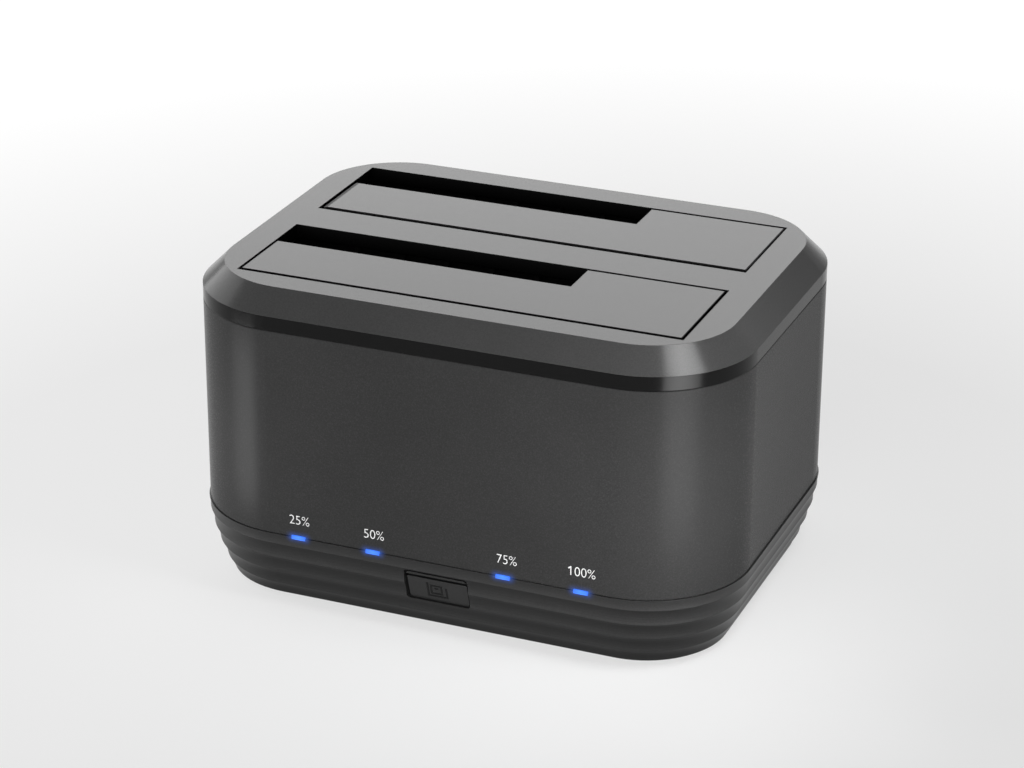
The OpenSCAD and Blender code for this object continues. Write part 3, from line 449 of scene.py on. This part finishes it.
# %% Lit acrylic
ACRYLIC_IOR = 1.49
LIGHT_MIDDLE = 1.25
LIGHT_END = 0.75
HAZE_MM = 0.6
lit_acrylic, tree, place = new_material("lit_blue_acrylic")
fade = add(tree, "MapRange", {"From Min": -WINDOW_HALF_W, "From Max": 0.0, "To Min": LIGHT_MIDDLE,
                              "To Max": LIGHT_END}, Value=past_window(tree, place))
haze = add(tree, "TexNoise", {"Scale": 1 / (HAZE_MM * MM)}, Vector=place)
skin = add(tree, "MapRange", {"To Min": 0.12, "To Max": 0.26}, Value=haze.outputs[0])
close_material(tree, add(tree, "BsdfPrincipled", {"Base Color": linear("#16368c"), "IOR": ACRYLIC_IOR,
                         "Emission Color": linear(LIGHT_BLUE)}, Emission_Strength=fade.outputs[0],
                         Roughness=skin.outputs[0]))
print("lit windows:", len(WINDOW_NODES))

# %% [markdown]
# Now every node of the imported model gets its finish. Nodes are grouped by finish in one table.

# %% Finish of each node
finishes = [
    (cap_abs, ["top_cap"]), *((flap_abs[node], [node]) for node in RIMS), (shell_abs, ["middle_shell"]),
    (base_abs, ["base_tray"]), (button_abs, ["clone_button"]), (liner_abs, ["front_bay", "rear_bay"]),
    (pin_steel, ["front_hinge_pin", "rear_hinge_pin"]),
    (spring_steel, ["front_flap_spring", "rear_flap_spring"]), (laminate, ["main_board"]),
    (socket_nylon, ["front_sata_socket", "rear_sata_socket", "dc_jack"]),
    (gold, ["front_sata_contacts", "rear_sata_contacts"]), (chip_epoxy, ["bridge_chip"]),
    (nickel, ["clock_crystal", "clone_switch", "usb_shell", "dc_jack_pin"]), (sleeve_vinyl, ["capacitors"]),
    (ferrite, ["inductors"]), (led_resin, ["led_chips"]), (lit_acrylic, WINDOW_NODES),
    (switch_nylon, ["clone_switch_plunger", "power_switch_frame"]), (blue_nylon, ["usb_insert"]),
    (brass, ["power_switch_terminals"]), (rocker_nylon, ["power_rocker"]),
    (screw_zinc, ["base_screws", "bay_screws"]), (foot_rubber, [n for n in nodes if n.startswith("foot_")])]
finish_of = {name: finish for finish, names in finishes for name in names}
for name, node in nodes.items():
    node.data.materials.clear()
    node.data.materials.append(finish_of[name])
print("finished nodes:", len(finish_of))

# %% [markdown]
# The numbers over the windows are pad-printed in white ink: a silicone pad lifts the ink from an
# etched plate and lays it on the plastic, some hundredths of a millimetre thick. They are made
# as text, turned into a mesh, and fitted to the height and width measured for each number.

# %% Printed numbers
INK_THICK = 0.03 * MM
DIGIT_H = 2.15 * MM
DIGIT_BASE = 3.25 * MM
STROKE_GAIN = -0.012
INK_IOR = 1.5
MOTTLE_MM = 0.25
NUMBERS = [  # words, width, and the shift to the right and up from over the window's middle, in mm
    ("25%", 4.85, 0.25, 0.0), ("50%", 4.8, 0.3, 0.0), ("75%", 4.65, 0.85, 0.0), ("100%", 5.75, 0.4, 0.4)]
white_ink, tree, place = new_material("white_pad_print_ink")
mottle = add(tree, "TexNoise", {"Scale": 1 / (MOTTLE_MM * MM), "Detail": 2.0}, Vector=place)
cover = add(tree, "Mix", {"data_type": "RGBA", MIX_A: linear("#b4b4b4"), MIX_B: linear("#dcdcdc")},
            Factor=mottle.outputs[0])
dry = add(tree, "MapRange", {"To Min": 0.45, "To Max": 0.65}, Value=mottle.outputs[0])
close_material(tree, add(tree, "BsdfPrincipled", {"IOR": INK_IOR}, Base_Color=cover.outputs[MIX_OUT],
                         Roughness=dry.outputs[0]))


def finished_piece(name, mesh, material, body):
    """Links a finished mesh into the scene as a piece that rides on a body."""
    mesh.materials.clear()
    mesh.materials.append(material)
    piece = bpy.data.objects.new(name, mesh)
    scene.collection.objects.link(piece)
    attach(piece, body)
    return piece


def baked(source):
    """The mesh that a curve, text or modified object evaluates to. The source is removed."""
    scene.collection.objects.link(source)
    made = source.evaluated_get(bpy.context.evaluated_depsgraph_get())
    mesh = bpy.data.meshes.new_from_object(made)
    bpy.data.objects.remove(source)
    return mesh


def printed_number(words, width, x, rise):
    """White number of a given width, centred at x over its window."""
    text = bpy.data.curves.new("number", "FONT")
    text.body = words
    text.offset = STROKE_GAIN
    text.extrude = 0.5
    mesh = baked(bpy.data.objects.new("number", text))
    low = [min(v.co[i] for v in mesh.vertices) for i in (0, 1)]
    high = [max(v.co[i] for v in mesh.vertices) for i in (0, 1)]
    wide = width / (high[0] - low[0])
    tall = DIGIT_H / (high[1] - low[1])
    foot = SEAM_Z + DIGIT_BASE + rise
    for v in mesh.vertices:
        across = (v.co.x - 0.5 * (low[0] + high[0])) * wide
        v.co = (x + across, FRONT_Y - v.co.z * INK_THICK, foot + (v.co.y - low[1]) * tall)
    return finished_piece("number_" + words[:-1], mesh, white_ink, "housing")


for (words, width, shift, rise), x in zip(NUMBERS, window_x):
    printed_number(words, width * MM, x + shift * MM, rise * MM)
print("numbers:", [row[0] for row in NUMBERS])

# %% [markdown]
# The other signs are lines of even width. They could be text or curves too, but their corners are
# sharp and some of the faces are curved. So one function draws a line through points with mitred
# corners and another lays it on the node that carries it, by casting rays at the node's face.

# %% Raised lines on a face
LINE_SUNK = 0.05 * MM


def line_rims(points, width, closed):
    """Pairs of points on both sides of a line of even width, mitred at its corners."""
    count = len(points)
    rims = []
    for i, p in enumerate(points):
        ways = []
        if closed or i > 0:
            ways.append((p - points[i - 1]).normalized())
        if closed or i < count - 1:
            ways.append((points[(i + 1) % count] - p).normalized())
        sides = [Vector((-w.y, w.x)) for w in ways]
        out = sum(sides, Vector((0, 0))).normalized()
        reach = 0.5 * width / out.dot(sides[0])
        rims.append((p + reach * out, p - reach * out))
    return rims


def raised_lines(name, lines, width, node, side, proud, material, body):
    """Lines in the x, z plane laid on a node's face that looks along y in the side's direction."""
    shape = nodes[node].data
    skin = BVHTree.FromPolygons([v.co for v in shape.vertices], [p.vertices for p in shape.polygons])
    bm = bmesh.new()

    def laid(flat, rise):
        start = Vector((flat.x, side, flat.y))
        hit = skin.ray_cast(start, Vector((0, -side, 0)))[0]
        return bm.verts.new((flat.x, hit.y + side * rise, flat.y))

    for points, closed in lines:
        rims = line_rims(points, width, closed)
        rings = [[laid(r, proud) for r in pair] + [laid(r, -LINE_SUNK) for r in reversed(pair)]
                 for pair in rims]
        pairs = list(zip(rings, rings[1:] + rings[:1] if closed else rings[1:]))
        for a, b in pairs:
            for k in range(4):
                bm.faces.new((a[k], a[(k + 1) % 4], b[(k + 1) % 4], b[k]))
        if not closed:
            bm.faces.new(rings[0])
            bm.faces.new(list(reversed(rings[-1])))
    bmesh.ops.recalc_face_normals(bm, faces=bm.faces)
    mesh = bpy.data.meshes.new(name)
    bm.to_mesh(mesh)
    bm.free()
    return finished_piece(name, mesh, material, body)


# %% [markdown]
# The sign on the button, two overlapping squares for a copy, stands slightly proud of its face,
# because lines cut into the mould come out raised. Its lines are painted nearly black as painted shade.

# %% Copy sign on the button
SIGN_W = 0.45 * MM
SIGN_PROUD = 0.06 * MM
SIGN_UP = 4.35 * MM
SIGN_LINES = [  # x and z of the corners in mm from the sign's middle, and whether the line is closed
    ([(-1.5, -1.0), (0.95, -1.0), (0.95, 1.2), (-1.5, 1.2)], True),
    ([(-2.3, 1.85), (-2.3, -1.75), (2.1, -1.75), (2.1, 1.0)], False),
    ([(-0.75, 0.4), (0.2, 0.4)], False)]
sign_middle = Vector((0.0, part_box("clone_button")[0].z + SIGN_UP))
# The sign's lines are painted nearly black, as painted shade.
sign_shade_abs = moulded("painted_shade_sign_abs", "#0c0c0c", "#161616", 0.3, 0.1)
lines = [([sign_middle + Vector(p) * MM for p in points], closed) for points, closed in SIGN_LINES]
raised_lines("copy_sign", lines, SIGN_W, "clone_button", -1, SIGN_PROUD, sign_shade_abs, "clone_button")
print("copy sign:", len(lines), "lines")

# %% [markdown]
# The font's 1 is a plain bar, while the printed one has a short flag at its top left. The flag is
# one more line of ink.

# %% Flag of the 1
FLAG_W = 0.3 * MM
FLAG_RUN = Vector((-0.6, -0.45)) * MM
BAR_HALF_MM = 0.15
FLAG_DOWN_MM = 0.12
words, width, shift, rise = NUMBERS[3]
flag_top = Vector((window_x[3] + (shift - 0.5 * width + BAR_HALF_MM) * MM,
                   SEAM_Z + DIGIT_BASE + DIGIT_H + (rise - FLAG_DOWN_MM) * MM))
raised_lines("number_100_flag", [([flag_top + FLAG_RUN, flag_top], False)], FLAG_W,
             "middle_shell", -1, 0.5 * INK_THICK, white_ink, "housing")
print("flag of the 1 in", words)

# %% [markdown]
# The rocker's marks, a bar for on and a ring for off, are moulded into it and filled with white paint.

# %% Marks on the rocker
MARK_W = 0.4 * MM
MARK_AT = 2.9 * MM
MARK_H = 2.2 * MM
MARK_PROUD = 0.04 * MM
RING_SIDES = 28
rocker_low, rocker_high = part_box("power_rocker")
middle = 0.5 * (rocker_low + rocker_high)
bar = [Vector((middle.x + MARK_AT, middle.z + s * 0.5 * MARK_H)) for s in (-1, 1)]
ring = [Vector((middle.x - MARK_AT + 0.5 * MARK_H * math.cos(a), middle.z + 0.5 * MARK_H * math.sin(a)))
        for a in (math.tau * k / RING_SIDES for k in range(RING_SIDES))]
raised_lines("rocker_marks", [(bar, False), (ring, True)], MARK_W, "power_rocker", 1, MARK_PROUD,
             white_ink, "power_rocker")
print("rocker marks", round(MARK_H / MM, 1), "mm tall")

# %% [markdown]
# A torsion spring sits round each hinge pin: a leg in the cap, five turns, a leg under the flap.
# The imported model has a coarse one, so a smooth wire takes its place. It is swept along
# the same path as a curve with a round section.

# %% Flap springs
WIRE_R = 0.2 * MM
COIL_R = 0.95 * MM
COIL_TURNS = 5
COIL_PITCH = 0.86 * MM
COIL_STEPS = 24
FIXED_LEG = 4.0 * MM
MOVING_LEG = 8.0 * MM
LEG_LIFT = math.radians(4)
hinge_of = {j["child"]: Vector(j["pos_m"]) for j in frame["record"]["behaviour"]["joints"]
            if "hinge" in j["name"]}


def flap_spring(node, flap):
    """Smooth torsion spring in place of a packed one."""
    low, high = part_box(node)
    span = COIL_TURNS * COIL_PITCH
    hinge = hinge_of[flap]
    start = Vector((0.5 * (low.x + high.x - span), hinge.y, hinge.z))
    path = [Vector((0, -FIXED_LEG, -COIL_R))]
    for k in range(COIL_TURNS * COIL_STEPS + 1):
        turn = k / COIL_STEPS
        angle = math.tau * (turn - 0.25)
        path.append(Vector((turn * COIL_PITCH, COIL_R * math.cos(angle), COIL_R * math.sin(angle))))
    path.append(Vector((span, MOVING_LEG * math.cos(LEG_LIFT), MOVING_LEG * math.sin(LEG_LIFT) - COIL_R)))
    curve = bpy.data.curves.new(node, "CURVE")
    curve.dimensions = "3D"
    curve.bevel_depth = WIRE_R
    curve.bevel_resolution = 3
    curve.use_fill_caps = True
    line = curve.splines.new("POLY")
    line.points.add(len(path) - 1)
    for point, place in zip(line.points, path):
        point.co = (*(start + place), 1)
    mesh = baked(bpy.data.objects.new(node, curve))
    mesh.polygons.foreach_set("use_smooth", [True] * len(mesh.polygons))
    mesh.materials.clear()
    mesh.materials.append(spring_steel)
    spring = bpy.data.objects.new("wound_" + node, mesh)
    scene.collection.objects.link(spring)
    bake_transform(spring)
    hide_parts(node)
    return spring


for flap in ("front_flap", "rear_flap"):
    spring = flap_spring(flap + "_spring", flap)
    print(spring.name, len(spring.data.polygons), "faces")

# %% [markdown]
# Four screws close the base from below. Each head has a cross recess, which is cut here with
# two crossed wedges and a boolean, as the punch does it in a real heading press. The heads
# are turned from a profile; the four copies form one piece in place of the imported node.

# %% Base screws
HEAD_R = 2.6 * MM
HEAD_H = 2.0 * MM
HEAD_CROWN = 0.7 * MM
SHANK_R = 1.45 * MM
RECESS_W = 0.62 * MM
RECESS_L = 3.1 * MM
RECESS_D = 1.3 * MM
RECESS_OUT = 0.2 * MM
TIP_L, TIP_W = 0.45, 0.6
SCREW_SIDES = 40
FIRST_TURN, NEXT_TURN = 0.4, 0.7  # no two screws stop at the same angle
CROWN_ANGLES = (90, 70, 50, 30, 12)


def wedge(bm, turn):
    """One arm of the punch for a cross recess: wide at the head's face, narrow inside."""
    top = [(sx * 0.5 * RECESS_L, sy * 0.5 * RECESS_W, -RECESS_OUT)
           for sx, sy in ((-1, -1), (1, -1), (1, 1), (-1, 1))]
    tip = [(TIP_L * x, TIP_W * y, RECESS_D) for x, y, z in top]
    ring = [bm.verts.new(Matrix.Rotation(turn, 3, "Z") @ Vector(p)) for p in top + tip]
    for face in ((3, 2, 1, 0), (4, 5, 6, 7), (0, 1, 5, 4), (1, 2, 6, 5), (2, 3, 7, 6), (3, 0, 4, 7)):
        bm.faces.new([ring[i] for i in face])


def mesh_of(name, fill):
    """A mesh whose faces the fill function adds."""
    bm = bmesh.new()
    fill(bm)
    mesh = bpy.data.meshes.new(name)
    bmesh.ops.recalc_face_normals(bm, faces=bm.faces)
    bm.to_mesh(mesh)
    bm.free()
    return mesh


def turned(bm, profile):
    """Spins a closed profile of radius and height round the Z axis."""
    rings = []
    for r, z in profile:
        steps = [math.tau * k / SCREW_SIDES for k in range(SCREW_SIDES)] if r > 0 else [0.0]
        rings.append([bm.verts.new((r * math.cos(a), r * math.sin(a), z)) for a in steps])
    for a, b in zip(rings, rings[1:]):
        for k in range(SCREW_SIDES):
            corners = [a[k % len(a)], a[(k + 1) % len(a)], b[(k + 1) % len(b)], b[k % len(b)]]
            bm.faces.new(list(dict.fromkeys(corners)))


screw_low, screw_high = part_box("base_screws")
screw_long = screw_high.z - screw_low.z
crown = [(HEAD_R * math.cos(a), HEAD_CROWN * (1 - math.sin(a))) for a in map(math.radians, CROWN_ANGLES)]
crown[0] = (0.0, 0.0)
profile = crown + [(HEAD_R, HEAD_CROWN), (HEAD_R, HEAD_H), (SHANK_R, HEAD_H),
                   (SHANK_R, screw_long - SHANK_R), (0.0, screw_long)]
blank = bpy.data.objects.new("screw", mesh_of("screw", lambda bm: turned(bm, profile)))
punches = []
for turn in (0.0, 0.5 * math.pi):
    punch = bpy.data.objects.new("punch", mesh_of("punch", lambda bm: wedge(bm, turn)))
    scene.collection.objects.link(punch)
    punches.append(punch)
    cut = blank.modifiers.new("recess", "BOOLEAN")
    cut.object = punch
    cut.operation = "DIFFERENCE"
    cut.solver = "EXACT"
headed = baked(blank)
for punch in punches:
    bpy.data.objects.remove(punch)
spots = [(x, y) for x in (screw_low.x + HEAD_R, screw_high.x - HEAD_R)
         for y in (screw_low.y + HEAD_R, screw_high.y - HEAD_R)]


def four_screws(bm):
    """Copies of the headed screw at the four corners of its node's box."""
    for k, (x, y) in enumerate(spots):
        kept = set(bm.verts)
        bm.from_mesh(headed)
        fresh = [v for v in bm.verts if v not in kept]
        spin = Matrix.Rotation(FIRST_TURN + NEXT_TURN * k, 4, "Z")
        bmesh.ops.transform(bm, matrix=Matrix.Translation((x, y, screw_low.z)) @ spin, verts=fresh)


screws = finished_piece("cross_head_screws", mesh_of("cross_head_screws", four_screws), screw_zinc,
                        "housing")
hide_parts("base_screws")
print("screws at", [(round(x / MM, 1), round(y / MM, 1)) for x, y in spots])

# %% [markdown]
# The data socket at the back gets its spring contacts. Each is a strip of gold-plated bronze with
# a bend that presses on the plug. A strip is a profile of points drawn out to the
# strip's width; the wide tongue has two on each face, the slim one has five on its upper face.

# %% Contacts of the data socket
STRIP_T = 0.15 * MM
STRIP_SUNK = 0.02 * MM
STRIP_BENDS = [(0.0, 0.0), (4.2, 0.0), (5.4, 0.16), (6.4, 0.16)]  # mm along the tongue and off its face
STRIP_SHORT = 0.35 * MM
WIDE_STRIP_X = 1.25 * MM
WIDE_STRIP_W = 1.0 * MM
SLIM_STRIP_PITCH = 0.76 * MM
SLIM_STRIP_W = 0.42 * MM
usb_low, usb_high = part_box("usb_insert")
usb_middle_z = 0.5 * (usb_low.z + usb_high.z)
TONGUE_FRONT = usb_high.y - 1.1 * MM
TONGUE_ROOT = usb_high.y - 8.7 * MM
WIDE_Z = usb_middle_z + 1.4 * MM
WIDE_HALF = 1.3 * MM
SLIM_Z = usb_middle_z - 3.0 * MM
SLIM_HALF = 0.5 * MM


def strip(bm, x, width, z, up):
    """One bent contact strip that lies on a tongue's face."""
    run = [(TONGUE_ROOT + y * MM, rise * MM) for y, rise in STRIP_BENDS] + [(TONGUE_FRONT - STRIP_SHORT, 0.0)]
    rings = []
    for y, rise in run:
        low = z + up * (rise - STRIP_SUNK)
        high = z + up * (rise + STRIP_T)
        corners = ((-1, low), (1, low), (1, high), (-1, high))
        rings.append([bm.verts.new((x + s * 0.5 * width, y, h)) for s, h in corners])
    for a, b in zip(rings, rings[1:]):
        for k in range(4):
            bm.faces.new((a[k], a[(k + 1) % 4], b[(k + 1) % 4], b[k]))
    bm.faces.new(rings[0])
    bm.faces.new(list(reversed(rings[-1])))


def socket_strips(bm):
    """All strips of the data socket."""
    for x in (-WIDE_STRIP_X, WIDE_STRIP_X):
        for up in (1, -1):
            strip(bm, x, WIDE_STRIP_W, WIDE_Z + up * WIDE_HALF, up)
    for k in range(-2, 3):
        strip(bm, k * SLIM_STRIP_PITCH, SLIM_STRIP_W, SLIM_Z + SLIM_HALF, 1)


contacts = finished_piece("socket_contacts", mesh_of("socket_contacts", socket_strips), gold, "housing")
print("contact strips:", len(contacts.data.polygons), "faces")

# %% [markdown]
# The floor is a sheet of white paper. A photographer would light the paper behind the object on
# its own to make it pure white; here it shines a little for the camera and for reflections, and
# still takes the object's shadow. The shine does not light the object. The camera and reflections
# see the lit part of the paper in a darker tint, so that shine and light together stay near white.

# %% Floor
FLOOR_HALF = 4.0
FLOOR_PAPER = "#f2f2f2"
SEEN_PAPER = "#9a9a9a"
NEAR_SHINE = 0.62
FAR_SHINE = 0.85
SHINE_NEAR = 0.15  # m from the object's middle
SHINE_FAR = 0.4


def shown_ray(tree):
    """1 for a ray that shows the background to the camera, straight, mirrored or through glass."""
    ray = add(tree, "LightPath")
    seen = add(tree, "Math", {"operation": "MAXIMUM"}, _0=ray.outputs["Is Camera Ray"],
               _1=ray.outputs["Is Glossy Ray"])
    return add(tree, "Math", {"operation": "MAXIMUM"}, _0=seen.outputs[0],
               _1=ray.outputs["Is Transmission Ray"])


paper, tree, place = new_material("white_paper")
shown = shown_ray(tree)
away = add(tree, "VectorMath", {"operation": "LENGTH"}, _0=place)
lit = add(tree, "MapRange", {"From Min": SHINE_NEAR, "From Max": SHINE_FAR, "To Min": NEAR_SHINE,
                             "To Max": FAR_SHINE}, Value=away.outputs["Value"])
shine = add(tree, "Math", {"operation": "MULTIPLY"}, _0=shown.outputs[0], _1=lit.outputs[0])
tint = add(tree, "Mix", {"data_type": "RGBA", MIX_A: linear(FLOOR_PAPER), MIX_B: linear(SEEN_PAPER)},
           Factor=shown.outputs[0])
close_material(tree, add(tree, "BsdfPrincipled", {"Roughness": 0.9, "Specular IOR Level": 0.0,
                         "Emission Color": linear("#ffffff")}, Base_Color=tint.outputs[MIX_OUT],
                         Emission_Strength=shine.outputs[0]))
floor_mesh = bpy.data.meshes.new("paper_floor")
corners = [(sx * FLOOR_HALF, sy * FLOOR_HALF, 0) for sx, sy in ((-1, -1), (1, -1), (1, 1), (-1, 1))]
floor_mesh.from_pydata(corners, [], [(0, 1, 2, 3)])
floor_mesh.materials.append(paper)
floor = bpy.data.objects.new("paper_floor", floor_mesh)
scene.collection.objects.link(floor)
print("floor", 2 * FLOOR_HALF, "m wide")

# %% [markdown]
# Black plastic shows mostly what it mirrors, so the lamps are soft boxes placed where each face
# looks: a wide one high behind for the top, low ones in front and at the left for the upright
# faces. Black cards keep the front ones out of the top's mirror, which would turn white from behind.
# Three small ones stand close to the front corners, as a photographer draws highlights there. A
# honeycomb grid in front of these keeps their light on the corner and off the paper; Blender
# narrows the beam in the same way, and brightens its middle, which the level takes out again.
# A lamp's level is its radiance, where 1 is as bright as white paper in this light. The air around
# adds a little light, and is pale where the camera or a reflection sees it, like the paper.

# %% Lamps
MIDDLE = Vector((0, 0, 60)) * MM
RIGHT_CORNER = Vector((55, -38, 42)) * MM
LEFT_CORNER = Vector((-55, -38, 42)) * MM
CHAMFER_CORNER = Vector((56, -40, 72)) * MM
OPEN = math.pi
GRID = math.radians(60)
FLAGGED = {"front_low", "front_left_low"}  # lamps behind a black card
LAMPS = [  # name, azimuth in degrees, distance, height, width and tallness in m, radiance, aim, beam
    ("back_high", 116, 1.80, 0.86, 2.30, 0.77, 3.1, MIDDLE, OPEN),
    ("left_wall", 170, 1.85, 0.70, 1.50, 1.20, 3.1, MIDDLE, OPEN),
    ("front_left_low", 225, 1.97, 0.36, 0.77, 0.66, 5.0, MIDDLE, OPEN),
    ("front_low", 270, 1.97, 0.36, 2.30, 0.66, 9.6, MIDDLE, OPEN),
    ("chamfer_spot", -26, 0.125, 0.178, 0.06, 0.05, 31.0, CHAMFER_CORNER, GRID),
    ("right_strip", -37, 0.14, 0.026, 0.06, 0.05, 23.0, RIGHT_CORNER, GRID),
    ("left_strip", -140, 0.12, 0.020, 0.035, 0.04, 14.5, LEFT_CORNER, GRID)]
WORLD_LEVEL = 0.05
WORLD_SEEN = 0.85


def soft_box(name, azimuth, distance, height, width, tallness, radiance, aim, beam):
    """A rectangular lamp that faces its aim. The camera does not see it, nor a mirror a flagged one."""
    data = bpy.data.lights.new(name, "AREA")
    data.shape = "RECTANGLE"
    data.size = width
    data.size_y = tallness
    data.spread = beam
    slope = math.tan(0.5 * beam)
    brightened = slope / (slope - 0.5 * beam) if beam < OPEN else 1.0
    data.energy = radiance * math.pi * width * tallness / brightened
    lamp = bpy.data.objects.new(name, data)
    turn = math.radians(azimuth)
    lamp.location = (distance * math.cos(turn), distance * math.sin(turn), height)
    lamp.rotation_euler = (lamp.location - aim).to_track_quat("Z", "Y").to_euler()
    lamp.visible_camera = False
    lamp.visible_glossy = name not in FLAGGED
    scene.collection.objects.link(lamp)


for row in LAMPS:
    soft_box(*row)
world = bpy.data.worlds.new("studio_air")
world.use_nodes = True
background = world.node_tree.nodes["Background"]
background.inputs["Color"].default_value = linear("#ffffff")
level = add(world.node_tree, "MapRange", {"To Min": WORLD_LEVEL, "To Max": WORLD_SEEN},
            Value=shown_ray(world.node_tree).outputs[0])
world.node_tree.links.new(level.outputs[0], background.inputs["Strength"])
scene.world = world
scene.view_settings.view_transform = "Standard"
print("lamps:", [row[0] for row in LAMPS])
